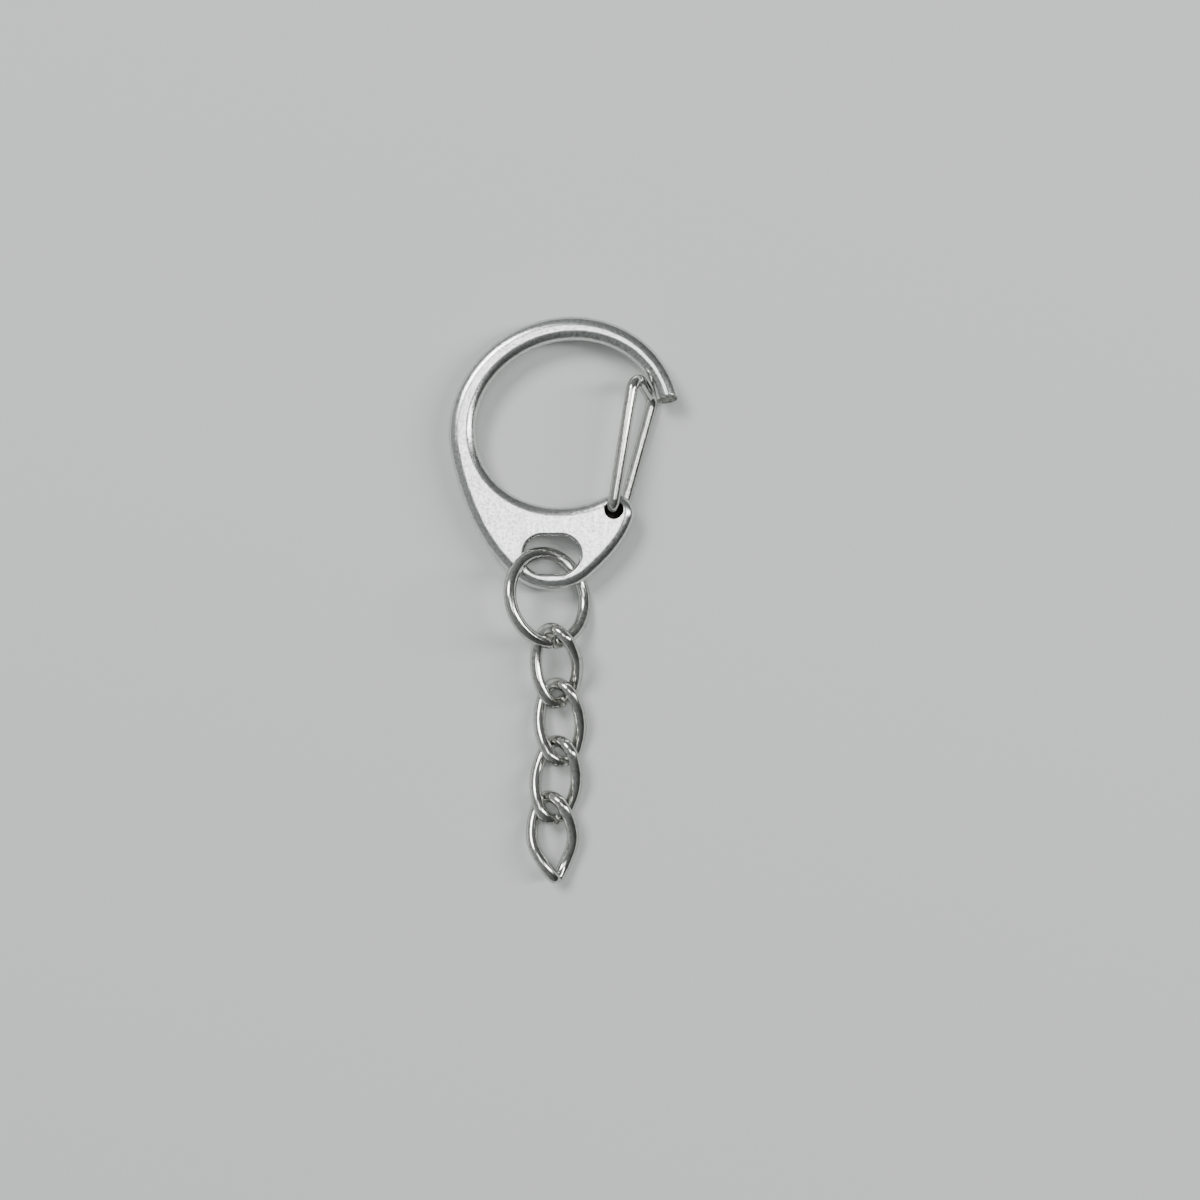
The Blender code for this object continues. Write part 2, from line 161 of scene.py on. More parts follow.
cloth = bpy.data.materials.new("pale napped cloth")
cloth.use_nodes = True
cloth_shader = cloth.node_tree.nodes["Principled BSDF"]
cloth_shader.inputs["Base Color"].default_value = linear(FLOOR_COLOUR)
cloth_shader.inputs["Roughness"].default_value = CLOTH_ROUGHNESS
cloth_shader.inputs["Specular IOR Level"].default_value = CLOTH_GLOSS
floor_mesh.materials.append(cloth)
floor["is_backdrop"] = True
print("floor", FLOOR_SIZE, "m wide")

# %% [markdown]
# ## Light
#
# A soft light hangs over the clip. The flat plate is a mirror that faces the camera, so this light is
# what it shows; where the edge curves away, the white falls to grey. A window at the top left lights
# that side of the arm and throws the soft shadow down to the right. A tall bar on the right draws the
# streak down each wire, a little to the right of its middle.
#
# Each light is a name, a place in metres, a width and height in metres, and a power in watts. All of
# them point at the clip.

# %% Lights
LIGHTS = (
    ("overhead softbox", (0, 0.06, 0.70), 0.21, 0.21, 0.78),
    ("window at the top left", (-0.30, 0.34, 0.62), 0.27, 0.27, 3.9),
    ("bar on the right", (0.45, 0.06, 0.45), 0.09, 0.45, 2.2),
)

for name, spot, width, height, power in LIGHTS:
    light_data = bpy.data.lights.new(name, "AREA")
    light_data.shape = "RECTANGLE"
    light_data.size = width
    light_data.size_y = height
    light_data.energy = power
    light = bpy.data.objects.new(name, light_data)
    light.location = spot
    light.rotation_euler = Vector(spot).to_track_quat("Z", "Y").to_euler()
    bpy.context.scene.collection.objects.link(light)
    print(name, "at", spot)

# %% [markdown]
# Round the lights the room is dim, lighter on the left than on the right. The dark bands in the
# metal are that room: without it, metal would look like white plastic. The direction that a mirror
# looks in picks the colour, from wall to wall by its left and right and up to the ceiling by its
# height.

# %% Room
WALL_DARK = "#4a4c4b"
WALL_LIGHT = "#a6a9a9"
CEILING = "#7c7e7e"
ROOM_STRENGTH = 1.0
LIGHT_SIDE = (-0.95, 0.3, 0)
SIDE_FROM = -0.8
SIDE_TO = 0.8
CEILING_FROM = 0.75
CEILING_TO = 0.97

room = bpy.data.worlds.new("dim room")
room.use_nodes = True
bpy.context.scene.world = room
tree = room.node_tree
tree.nodes.clear()
direction = add(tree, "ShaderNodeTexCoord").outputs["Generated"]
parts = add(tree, "ShaderNodeSeparateXYZ", {"Vector": direction})
left_side = add(
    tree, "ShaderNodeVectorMath", {0: direction, 1: LIGHT_SIDE}, operation="DOT_PRODUCT"
)
side_share = add(
    tree, "ShaderNodeMapRange",
    {"Value": left_side.outputs["Value"], "From Min": SIDE_FROM, "From Max": SIDE_TO},
)
walls = add(
    tree, "ShaderNodeMix",
    {"Factor": side_share.outputs["Result"], MIX_A: linear(WALL_DARK), MIX_B: linear(WALL_LIGHT)},
    data_type="RGBA",
)
height_share = add(
    tree, "ShaderNodeMapRange",
    {"Value": parts.outputs["Z"], "From Min": CEILING_FROM, "From Max": CEILING_TO},
    interpolation_type="SMOOTHSTEP",
)
whole = add(
    tree, "ShaderNodeMix",
    {"Factor": height_share.outputs["Result"], MIX_A: walls.outputs[MIX_COLOUR], MIX_B: linear(CEILING)},
    data_type="RGBA",
)
background = add(
    tree, "ShaderNodeBackground", {"Color": whole.outputs[MIX_COLOUR], "Strength": ROOM_STRENGTH}
)
add(tree, "ShaderNodeOutputWorld", {"Surface": background.outputs["Background"]})
print("room:", room.name)

# %% [markdown]
# ## Material: tumbled nickel plate
#
# The hook is pressed out of plate or cast, then tumbled smooth and nickel plated. Tumbling leaves it
# bright but never optically flat: the surface rolls gently every millimetre or so, with fine pits and
# with hair scratches from use. That gives the eye a soft mottled white on the flat face and slightly
# broken reflections on the rounded edge. Real hair scratches are finer than a tenth of a millimetre
# apart. They are drawn that far apart, so that they show.

# %% Tumbled nickel plate
PLATE_COLOUR_CLEAN = "#d8d9d8"
PLATE_COLOUR_DULL = "#adaeab"
ROLL_SPACING = 1.3 * MM
ROLL_DEPTH = 0.02 * MM
ROLL_DETAIL = 2
PIT_SPACING = 0.32 * MM
PIT_DEPTH = 0.003 * MM
PIT_DETAIL = 5
PIT_CRISPNESS = 0.7
PIT_FROM = 0.34
PIT_TO = 0.52
SCRATCH_SPACING = 0.10 * MM
SCRATCH_DEPTH = 0.0008 * MM
SCRATCH_DETAIL = 3
SCRATCH_TURN = 0.5
SCRATCH_STRETCH = 0.05
PLATE_SMOOTHEST = 0.16
PLATE_ROUGHEST = 0.26
NOISE_LOW = 0.3
NOISE_HIGH = 0.7

plate = bpy.data.materials.new("tumbled nickel plate")
plate.use_nodes = True
tree = plate.node_tree
shader = tree.nodes["Principled BSDF"]
shader.inputs["Metallic"].default_value = 1
place = add(tree, "ShaderNodeTexCoord").outputs["Object"]
roll = add(
    tree, "ShaderNodeTexNoise", {"Vector": place, "Scale": 1 / ROLL_SPACING, "Detail": ROLL_DETAIL}
)
pits = add(
    tree, "ShaderNodeTexNoise",
    {"Vector": place, "Scale": 1 / PIT_SPACING, "Detail": PIT_DETAIL, "Roughness": PIT_CRISPNESS},
)
clean_share = add(
    tree, "ShaderNodeMapRange", {"Value": pits.outputs["Fac"], "From Min": PIT_FROM, "From Max": PIT_TO}
)
stretched = add(
    tree, "ShaderNodeMapping",
    {"Vector": place, "Rotation": (0, 0, SCRATCH_TURN), "Scale": (1, SCRATCH_STRETCH, 1)},
)
scratches = add(
    tree, "ShaderNodeTexNoise",
    {"Vector": stretched.outputs["Vector"], "Scale": 1 / SCRATCH_SPACING, "Detail": SCRATCH_DETAIL},
)
tone = add(
    tree, "ShaderNodeMix",
    {
        "Factor": clean_share.outputs["Result"],
        MIX_A: linear(PLATE_COLOUR_DULL),
        MIX_B: linear(PLATE_COLOUR_CLEAN),
    },
    data_type="RGBA",
)
tree.links.new(tone.outputs[MIX_COLOUR], shader.inputs["Base Color"])
rough = add(
    tree, "ShaderNodeMapRange",
    {
        "Value": scratches.outputs["Fac"],
        "From Min": NOISE_LOW,
        "From Max": NOISE_HIGH,
        "To Min": PLATE_SMOOTHEST,
        "To Max": PLATE_ROUGHEST,
    },
)
tree.links.new(rough.outputs["Result"], shader.inputs["Roughness"])
rolling = add(
    tree, "ShaderNodeBump", {"Height": roll.outputs["Fac"], "Distance": ROLL_DEPTH, "Strength": 1}
)
pitted = add(
    tree, "ShaderNodeBump",
    {
        "Height": clean_share.outputs["Result"],
        "Distance": PIT_DEPTH,
        "Strength": 1,
        "Normal": rolling.outputs["Normal"],
    },
)
scratched = add(
    tree, "ShaderNodeBump",
    {
        "Height": scratches.outputs["Fac"],
        "Distance": SCRATCH_DEPTH,
        "Strength": 1,
        "Normal": pitted.outputs["Normal"],
    },
)
tree.links.new(scratched.outputs["Normal"], shader.inputs["Normal"])
print("made", plate.name)

# %% [markdown]
# ## Materials: drilled hole in painted shade, and sheared tip
#
# The wall and floor of each blind hole, a millimetre deep, are painted near black and rough: painted shade
# for the dark that falls inside the deep hole.
# The end of the tip was sheared off, which tears the metal: it is plated too, but rough and blotchy.
# Both are the same recipe, a blotchy metal between two tones: a name, a dark and a light tone, the
# blotches' spacing and the roughness.

# %% Drilled hole in painted shade, and sheared tip
ROUGH_METALS = (
    # The hole's near-black tones are painted shade, for the dark inside the deep blind holes
    ("drilled hole in painted shade", "#141312", "#2f2d2a", 0.12 * MM, 0.60),
    ("sheared nickel plate", "#3a3936", "#8f8f8b", 0.28 * MM, 0.38),
)
BLOTCH_DETAIL = 3
BLOTCH_FROM = 0.4
BLOTCH_TO = 0.6
TEAR_DEPTH = 0.05 * MM

rough_metals = []
for name, dark, light, spacing, roughness in ROUGH_METALS:
    metal = bpy.data.materials.new(name)
    metal.use_nodes = True
    tree = metal.node_tree
    shader = tree.nodes["Principled BSDF"]
    shader.inputs["Metallic"].default_value = 1
    shader.inputs["Roughness"].default_value = roughness
    place = add(tree, "ShaderNodeTexCoord").outputs["Object"]
    marks = add(
        tree, "ShaderNodeTexNoise", {"Vector": place, "Scale": 1 / spacing, "Detail": BLOTCH_DETAIL}
    )
    share = add(
        tree, "ShaderNodeMapRange",
        {"Value": marks.outputs["Fac"], "From Min": BLOTCH_FROM, "From Max": BLOTCH_TO},
    )
    tone = add(
        tree, "ShaderNodeMix",
        {"Factor": share.outputs["Result"], MIX_A: linear(dark), MIX_B: linear(light)},
        data_type="RGBA",
    )
    tree.links.new(tone.outputs[MIX_COLOUR], shader.inputs["Base Color"])
    torn = add(
        tree, "ShaderNodeBump", {"Height": marks.outputs["Fac"], "Distance": TEAR_DEPTH, "Strength": 1}
    )
    tree.links.new(torn.outputs["Normal"], shader.inputs["Normal"])
    rough_metals.append(metal)
    print("made", metal.name)

# %% [markdown]
# ## Material: drawn nickel wire
#
# The gate, the ring and the links are steel wire, pulled through a round die and plated bright. The
# die leaves faint lines along the wire, so its roughness changes round the wire but hardly along it.
# The texture coordinates of each wire run that way: u goes once round it and v along it in metres.
# The edge tint is chosen: without it the wires' edges mirror the pale cloth too brightly.

# %% Drawn nickel wire
WIRE_COLOUR = "#d2d2ce"
WIRE_COLOUR_DULL = "#aeaea9"
WIRE_EDGE_TINT = "#b0b0ae"
WIRE_SMOOTHEST = 0.10
WIRE_ROUGHEST = 0.19
DIE_LINES_ROUND = 26
DIE_LINE_LENGTH = 4 * MM
DIE_LINE_DEPTH = 0.002 * MM
DIE_LINE_DETAIL = 3
SCUFF_SPACING = 0.35 * MM
SCUFF_DEPTH = 0.004 * MM
SCUFF_DETAIL = 4
SCUFF_FROM = 0.32
SCUFF_TO = 0.5

wire_metal = bpy.data.materials.new("drawn nickel wire")
wire_metal.use_nodes = True
tree = wire_metal.node_tree
shader = tree.nodes["Principled BSDF"]
shader.inputs["Metallic"].default_value = 1
shader.inputs["Specular Tint"].default_value = linear(WIRE_EDGE_TINT)
coordinates = add(tree, "ShaderNodeTexCoord")
lines_place = add(
    tree, "ShaderNodeMapping",
    {"Vector": coordinates.outputs["UV"], "Scale": (DIE_LINES_ROUND, 1 / DIE_LINE_LENGTH, 1)},
)
lines = add(
    tree, "ShaderNodeTexNoise",
    {"Vector": lines_place.outputs["Vector"], "Scale": 1, "Detail": DIE_LINE_DETAIL},
)
scuffs = add(
    tree, "ShaderNodeTexNoise",
    {"Vector": coordinates.outputs["Object"], "Scale": 1 / SCUFF_SPACING, "Detail": SCUFF_DETAIL},
)
clean_share = add(
    tree, "ShaderNodeMapRange",
    {"Value": scuffs.outputs["Fac"], "From Min": SCUFF_FROM, "From Max": SCUFF_TO},
)
tone = add(
    tree, "ShaderNodeMix",
    {
        "Factor": clean_share.outputs["Result"],
        MIX_A: linear(WIRE_COLOUR_DULL),
        MIX_B: linear(WIRE_COLOUR),
    },
    data_type="RGBA",
)
tree.links.new(tone.outputs[MIX_COLOUR], shader.inputs["Base Color"])
rough = add(
    tree, "ShaderNodeMapRange",
    {
        "Value": lines.outputs["Fac"],
        "From Min": NOISE_LOW,
        "From Max": NOISE_HIGH,
        "To Min": WIRE_SMOOTHEST,
        "To Max": WIRE_ROUGHEST,
    },
)
tree.links.new(rough.outputs["Result"], shader.inputs["Roughness"])
lined = add(
    tree, "ShaderNodeBump", {"Height": lines.outputs["Fac"], "Distance": DIE_LINE_DEPTH, "Strength": 1}
)
scuffed = add(
    tree, "ShaderNodeBump",
    {
        "Height": scuffs.outputs["Fac"],
        "Distance": SCUFF_DEPTH,
        "Strength": 1,
        "Normal": lined.outputs["Normal"],
    },
)
tree.links.new(scuffed.outputs["Normal"], shader.inputs["Normal"])
print("made", wire_metal.name)

# %% [markdown]
# ## The hook's outline
#
# Seen from above the hook is two ellipses: the loop is one, and the outer edge of its arm is a
# second, a little larger, turned and shifted, so that the arm swells and thins as a real one does.
# The heel and the nose are circles. Smooth curves join them. The same sizes as in the solid model
# are used, with points four times closer, so that the edge has no visible corners.

# %% Sizes of the hook
PLATE_THICKNESS = 2.1 * MM
EDGE_ROUND_share = 0.43
LOOP_LONG_RADIUS = 9.78 * MM
LOOP_SHORT_RADIUS = 8.63 * MM
LOOP_LEAN = radians(20.8)
ARM_SIDE_WIDTH = 2.57 * MM
ARM_CROWN_WIDTH = 2.75 * MM
ARM_SHIFT = Vector((-0.25 * MM, -0.34 * MM))
ARM_LEAN = radians(25.8)
TIP_OUTER_ANGLE = radians(-10.7)
TIP_INNER_ANGLE = radians(-5.4)
TIP_OVERRUN_ANGLE = radians(-25)
TIP_SLANT = radians(17)
ARM_BACK_ANGLE = radians(168)
LOOP_FOOT_ANGLE = radians(-86)
SLOT_LENGTH = 5.9 * MM
SLOT_WIDTH = 4.0 * MM
SLOT_X = -1.59 * MM
WEB_WIDTH = 3.0 * MM
BAR_WIDTH = 1.7 * MM
HEEL_RADIUS = 6.1 * MM
HEEL_ANGLES = (radians(229), radians(312))
NOSE_RADIUS = 2.0 * MM
NOSE_ANGLES = (radians(-22), radians(112))
NOSE_SHIFT = Vector((-0.19 * MM, -0.16 * MM))
HINGE_ANGLE = radians(-82.4)
HINGE_WALL = 1.99 * MM
PIN_OFFSET = Vector((-0.44 * MM, 0.42 * MM))
HOLE_RADIUS = 0.97 * MM
HOLE_DEPTH = 1.0 * MM
HOLE_EASE = Vector((0.12 * MM, -0.18 * MM))
OUTLINE_STEP = 0.2 * MM

edge_round = PLATE_THICKNESS * EDGE_ROUND_share
print("plate, mm:", round(PLATE_THICKNESS / MM, 2), "thick, edges rounded by", round(edge_round / MM, 2))


# %% Curves that make up the outline
def ellipse_point(centre, long_radius, short_radius, lean, angle):
    """A point on an ellipse whose long axis leans from the x axis."""
    along = long_radius * cos(angle)
    across = short_radius * sin(angle)
    x = centre.x + along * cos(lean) - across * sin(lean)
    y = centre.y + along * sin(lean) + across * cos(lean)
    return Vector((x, y))


def loop_point(angle):
    return ellipse_point(Vector((0, 0)), LOOP_LONG_RADIUS, LOOP_SHORT_RADIUS, LOOP_LEAN, angle)


def arm_point(angle):
    long_radius = LOOP_LONG_RADIUS + ARM_SIDE_WIDTH
    short_radius = LOOP_SHORT_RADIUS + ARM_CROWN_WIDTH
    return ellipse_point(ARM_SHIFT, long_radius, short_radius, ARM_LEAN, angle)


def circle_point(centre, radius, angle):
    return centre + Vector((cos(angle), sin(angle))) * radius


def beside_loop(angle, outwards):
    """A point on the line from the loop's middle through its edge, a little way beyond that edge."""
    edge = loop_point(angle)
    return edge + edge.normalized() * outwards


def arc(point_at, start, end):
    """Points along point_at(angle), about one outline step apart."""
    middle = (start + end) / 2
    length = (point_at(start) - point_at(middle)).length + (point_at(middle) - point_at(end)).length
    steps = max(2, ceil(length / OUTLINE_STEP))
    return [point_at(start + (end - start) * step / steps) for step in range(steps + 1)]


def blend(before, after):
    """Points on a smooth curve from the end of one arc to the start of the next."""
    start = before[-1]
    end = after[0]
    reach = (end - start).length / 3
    start_handle = start + (before[-1] - before[-2]).normalized() * reach
    end_handle = end - (after[1] - after[0]).normalized() * reach
    steps = max(2, ceil((end - start).length / OUTLINE_STEP))
    points = []
    for step in range(1, steps):
        t = step / steps
        s = 1 - t
        points.append(start * s**3 + start_handle * 3 * s * s * t + end_handle * 3 * s * t * t + end * t**3)
    return points


HINGE = beside_loop(HINGE_ANGLE, HINGE_WALL)
hinge_place = Vector(JOINTS["gate_hinge"]["pos_m"])
HOOK_PLACE = hinge_place - Vector((*HINGE, 0))
print("middle of the loop, mm:", [round(value / MM, 2) for value in HOOK_PLACE])

loop_depth = sqrt((LOOP_LONG_RADIUS * sin(LOOP_LEAN)) ** 2 + (LOOP_SHORT_RADIUS * cos(LOOP_LEAN)) ** 2)
SLOT = Vector((SLOT_X, -loop_depth - WEB_WIDTH - SLOT_WIDTH / 2))
heel = Vector((SLOT.x, SLOT.y - SLOT_WIDTH / 2 - BAR_WIDTH + HEEL_RADIUS))
nose = HINGE + NOSE_SHIFT
stretches = [
    arc(arm_point, TIP_OVERRUN_ANGLE, ARM_BACK_ANGLE),
    arc(lambda angle: circle_point(heel, HEEL_RADIUS, angle), *HEEL_ANGLES),
    arc(lambda angle: circle_point(nose, NOSE_RADIUS, angle), *NOSE_ANGLES),
    arc(loop_point, LOOP_FOOT_ANGLE, TIP_OVERRUN_ANGLE - 2 * pi),
]
hook_outline = list(stretches[0])
for before, after in zip(stretches, stretches[1:]):
    hook_outline += blend(before, after) + after

# Past the tip the outline closes in a half circle, which the tip's cut takes off
end = (hook_outline[-1] + hook_outline[0]) / 2
end_radius = (hook_outline[0] - end).length
start = atan2(hook_outline[-1].y - end.y, hook_outline[-1].x - end.x)
hook_outline += arc(lambda angle: circle_point(end, end_radius, angle), start, start + pi)[1:-1]
print("outline points:", len(hook_outline))

# %% [markdown]
# ## From outline to plate
#
# The plate is built up in levels: the outline is repeated at each height, drawn in a little more
# towards either face, so that its edge is rounded. The rounding is a quarter of an ellipse, wider than
# it is deep, which eases gently into the flat face as tumbled metal does.
#
# Then Booleans cut the tip, the slot and the two blind hinge holes, as a shear, a punch and a drill
# would. The punch and the drills are built in levels too, and flared where they leave the metal, so each
# rim comes out rounded without any further step.

# %% Plate helpers
ROUND_STEPS = 8
EDGE_ROUND_WIDTH = 1.1 * MM
FLAT_ANGLE = radians(0.5)
CUT_OVERRUN = 1 * MM
SLOT_RIM = 0.35 * MM
TIP_RIM = 0.1 * MM
HOLE_RIM = 0.1 * MM
TIP_RIM_STEPS = 3
RIM_ANGLE = radians(40)
SHARP_ANGLE = radians(50)
HOLE_SIDES = 64
TIP_FACE_ANGLE = radians(10)
TIP_REACH = 2 * MM


def show(name, mesh):
    """A new object with this mesh, placed in the scene."""
    piece = bpy.data.objects.new(name, mesh)
    bpy.context.scene.collection.objects.link(piece)
    return piece


def final_mesh(piece):
    """The piece's mesh with its modifiers applied."""
    depsgraph = bpy.context.evaluated_depsgraph_get()
    return bpy.data.meshes.new_from_object(piece.evaluated_get(depsgraph))


def cut(piece, cutter):
    """Take the cutter's shape away from the piece."""
    modifier = piece.modifiers.new("cut", "BOOLEAN")
    modifier.operation = "DIFFERENCE"
    modifier.solver = "EXACT"
    modifier.object = cutter


def built_up(name, ring_at, levels):
    """A solid from a ring of points for each (height, how far outwards), with closed ends."""
    shape = bmesh.new()
    rings = []
    for height, outwards in levels:
        rings.append([shape.verts.new((*point, height)) for point in ring_at(outwards)])
    for low, high in zip(rings, rings[1:]):
        for step in range(len(low)):
            other = (step + 1) % len(low)
            shape.faces.new((low[step], low[other], high[other], high[step]))
    shape.faces.new(list(reversed(rings[0])))
    shape.faces.new(rings[-1])
    mesh = bpy.data.meshes.new(name)
    shape.to_mesh(mesh)
    shape.free()
    return show(name, mesh)


def rounding(across, deep):
    """Levels from the side of the plate up to its front face, and how far each has come across."""
    levels = []
    for step in range(ROUND_STEPS + 1):
        angle = pi / 2 * step / ROUND_STEPS
        levels.append((PLATE_THICKNESS / 2 - deep + deep * sin(angle), across - across * cos(angle)))
    return levels


def mirrored(levels):
    """The same levels for the back half of the plate, in rising order."""
    return [(-height, outwards) for height, outwards in reversed(levels)]


print("levels in each rounded edge:", ROUND_STEPS + 1)

# %% Blank and cutters
def hook_ring(outwards):
    """The hook's outline, moved outwards square to itself."""
    befores = hook_outline[-1:] + hook_outline
    afters = hook_outline[1:] + hook_outline[:1]
    moved = []
    for before, point, after in zip(befores, hook_outline, afters):
        along = after - before
        moved.append(point + Vector((along.y, -along.x)).normalized() * outwards)
    return moved


def slot_ring(outwards):
    """The outline of the slot, two half circles joined by straight sides."""
    half_straight = Vector(((SLOT_LENGTH - SLOT_WIDTH) / 2, 0))
    radius = SLOT_WIDTH / 2 + outwards
    points = []
    for middle, start in ((SLOT + half_straight, -pi / 2), (SLOT - half_straight, pi / 2)):
        for step in range(HOLE_SIDES + 1):
            points.append(circle_point(middle, radius, start + pi * step / HOLE_SIDES))
    return points


def hole_centre(side):
    """The middle of the hinge hole in the front face, side 1, or in the back face, side -1."""
    return HINGE + (PIN_OFFSET + HOLE_EASE) * side


def hole_ring(centre, outwards):
    angles = [2 * pi * step / HOLE_SIDES for step in range(HOLE_SIDES)]
    return [circle_point(centre, HOLE_RADIUS + outwards, angle) for angle in angles]


edge = [(height, -across) for height, across in rounding(EDGE_ROUND_WIDTH, edge_round)]
hook = built_up("snap_hook", hook_ring, mirrored(edge) + edge)

beyond = PLATE_THICKNESS / 2 + CUT_OVERRUN
slot_levels = rounding(SLOT_RIM, SLOT_RIM) + [(beyond, SLOT_RIM)]
cutters = [built_up("slot", slot_ring, mirrored(slot_levels) + slot_levels)]

for side in (1, -1):
    centre = hole_centre(side)
    levels = [(PLATE_THICKNESS / 2 - HOLE_DEPTH, 0)] + rounding(HOLE_RIM, HOLE_RIM) + [(beyond, HOLE_RIM)]
    if side < 0:
        levels = mirrored(levels)
    cutters.append(built_up("hinge_hole", lambda outwards: hole_ring(centre, outwards), levels))

# The shear is a block that takes off all beyond the tip. One face of it is the slanted cut
outer = arm_point(TIP_OUTER_ANGLE)
inner = loop_point(TIP_INNER_ANGLE)
inwards = (inner - outer).normalized()
middle = (outer + inner) / 2
reach = 2 * ARM_SIDE_WIDTH
shape = bmesh.new()
bmesh.ops.create_cube(shape, size=1)
bmesh.ops.scale(shape, verts=shape.verts, vec=(reach, reach, 3 * PLATE_THICKNESS))
bmesh.ops.translate(shape, verts=shape.verts, vec=(0, reach / 2, 0))
mesh = bpy.data.meshes.new("tip cut")
shape.to_mesh(mesh)
shape.free()
tip_cut = show("tip_cut", mesh)
tip_turn = Matrix(((inwards.x, -inwards.y, 0), (inwards.y, inwards.x, 0), (0, 0, 1)))
tip_turn = tip_turn @ Matrix.Rotation(TIP_SLANT, 3, "X")
tip_cut.matrix_world = Matrix.Translation((middle.x, middle.y, PLATE_THICKNESS / 2)) @ tip_turn.to_4x4()

print("cutters:", [cutter.name for cutter in cutters], tip_cut.name)

# %% Cut the plate and set it in place
cut(hook, tip_cut)
broken_rim = hook.modifiers.new("broken tip rim", "BEVEL")
broken_rim.width = TIP_RIM
broken_rim.segments = TIP_RIM_STEPS
broken_rim.limit_method = "ANGLE"
broken_rim.angle_limit = RIM_ANGLE
broken_rim.use_clamp_overlap = False
broken_rim.loop_slide = False
for cutter in cutters:
    cut(hook, cutter)
bpy.context.view_layer.update()
hook_mesh = final_mesh(hook)
for used in (hook, tip_cut, *cutters):
    bpy.data.objects.remove(used, do_unlink=True)

hook = show("snap_hook", hook_mesh)
for polygon in hook_mesh.polygons:
    polygon.use_smooth = True
hook_mesh.set_sharp_from_angle(angle=SHARP_ANGLE)
hook.location = HOOK_PLACE
print("hook faces:", len(hook_mesh.polygons))

# %% [markdown]
# The light across a flat face shows the smallest error in its normals, so they are set one by one. Every
# corner that touches a flat face looks straight up or down, and the rounded edge starts from there.

# %% Flat faces stay flat
flat_corners = {}
for polygon in hook_mesh.polygons:
    if abs(polygon.normal.z) > cos(FLAT_ANGLE):
        for vertex in polygon.vertices:
            flat_corners[vertex] = Vector((0, 0, round(polygon.normal.z)))
normals = [corner.vector.copy() for corner in hook_mesh.corner_normals]
for polygon in hook_mesh.polygons:
    for loop in polygon.loop_indices:
        flat = flat_corners.get(hook_mesh.loops[loop].vertex_index)
        if flat and polygon.normal.angle(flat) < SHARP_ANGLE:
            normals[loop] = flat
hook_mesh.normals_split_custom_set(normals)
print("corners that look straight up or down:", len(flat_corners))

# %% [markdown]
# The walls and floors of the two blind holes get the near-black metal that paints the shade in them, and
# the end of the tip the sheared one. Everything else is smooth plate.

# %% Materials of the hook
# The metal that paints the shade inside the hinge holes
HOLE_SHADE_PAINT = 1
TIP_METAL = 2

hook_mesh.materials.clear()
for metal in (plate, *rough_metals):
    hook_mesh.materials.append(metal)
tip_facing = tip_turn @ Vector((0, 1, 0))
for polygon in hook_mesh.polygons:
    facing_tip = polygon.normal.angle(tip_facing) < TIP_FACE_ANGLE
    if facing_tip and (polygon.center.xy - middle).length < TIP_REACH:
        polygon.material_index = TIP_METAL
    for side in (1, -1):
        beside = (polygon.center.xy - hole_centre(side)).length < HOLE_RADIUS
        below = 0 < polygon.center.z * side < PLATE_THICKNESS / 2 - HOLE_RIM
        if beside and below:
            polygon.material_index = HOLE_SHADE_PAINT
print("rough faces:", sum(polygon.material_index > 0 for polygon in hook_mesh.polygons))
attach(hook, "hook")
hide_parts("hook_body")

# %% [markdown]
# ## Wires
#
# The gate, the ring and the links are all round wire bent along a line. A sweep makes them: rings of
# points are set square to the line and stitched together. Each ring is turned from the last one by no
# more than the bend itself, so the surface doesn't twist. The ends are cut flat, as cutters leave
# them, with the rim just broken.

# %% Sweep a wire along a line
WIRE_SIDES = 32
END_RIM_shares = ((0, 0.80), (0.03, 0.90), (0.09, 0.97), (0.20, 1.0))


def near_ends(points, radius):
    """Each place along the line with its wire radius, the ends drawn in by a broken rim."""
    start_run = (points[1] - points[0]).normalized() * radius
    end_run = (points[-2] - points[-1]).normalized() * radius
    head = [(points[0] + start_run * along, radius * across) for along, across in END_RIM_shares]
    tail = [(points[-1] + end_run * along, radius * across) for along, across in reversed(END_RIM_shares)]
    body = []
    for point in points[1:-1]:
        clear = END_RIM_shares[-1][0] * radius
        if (point - points[0]).length > clear and (point - points[-1]).length > clear:
            body.append((point, radius))
    return head + body + tail


def sweep(name, points, radius):
    """A round wire along the points, with its cut ends closed."""
    stations = near_ends(points, radius)
    places = [place for place, size in stations]
    shape = bmesh.new()
    uv = shape.loops.layers.uv.new("along wire")
    tangent = (places[1] - places[0]).normalized()
    side = tangent.orthogonal().normalized()
    rings = []
    run = [0]
    for index, (place, size) in enumerate(stations):
        before = places[max(0, index - 1)]
        after = places[min(len(places) - 1, index + 1)]
        heading = (after - before).normalized()
        side = tangent.rotation_difference(heading) @ side
        side = (side - heading * side.dot(heading)).normalized()
        tangent = heading
        up = tangent.cross(side)
        ring = []
        for step in range(WIRE_SIDES):
            angle = 2 * pi * step / WIRE_SIDES
            ring.append(shape.verts.new(place + (side * cos(angle) + up * sin(angle)) * size))
        rings.append(ring)
        if index:
            run.append(run[-1] + (place - places[index - 1]).length)
    for index, (ring, following) in enumerate(zip(rings, rings[1:])):
        for step in range(WIRE_SIDES):
            other = (step + 1) % WIRE_SIDES
            face = shape.faces.new((ring[step], ring[other], following[other], following[step]))
            corners = ((step, index), (step + 1, index), (step + 1, index + 1), (step, index + 1))
            for corner, (around, along) in zip(face.loops, corners):
                corner[uv].uv = (around / WIRE_SIDES, run[along])
            face.smooth = True
    shape.faces.new(list(reversed(rings[0])))
    shape.faces.new(rings[-1])
    mesh = bpy.data.meshes.new(name)
    shape.to_mesh(mesh)
    shape.free()
    mesh.set_sharp_from_angle(angle=SHARP_ANGLE)
    mesh.materials.append(wire_metal)
    return show(name, mesh)


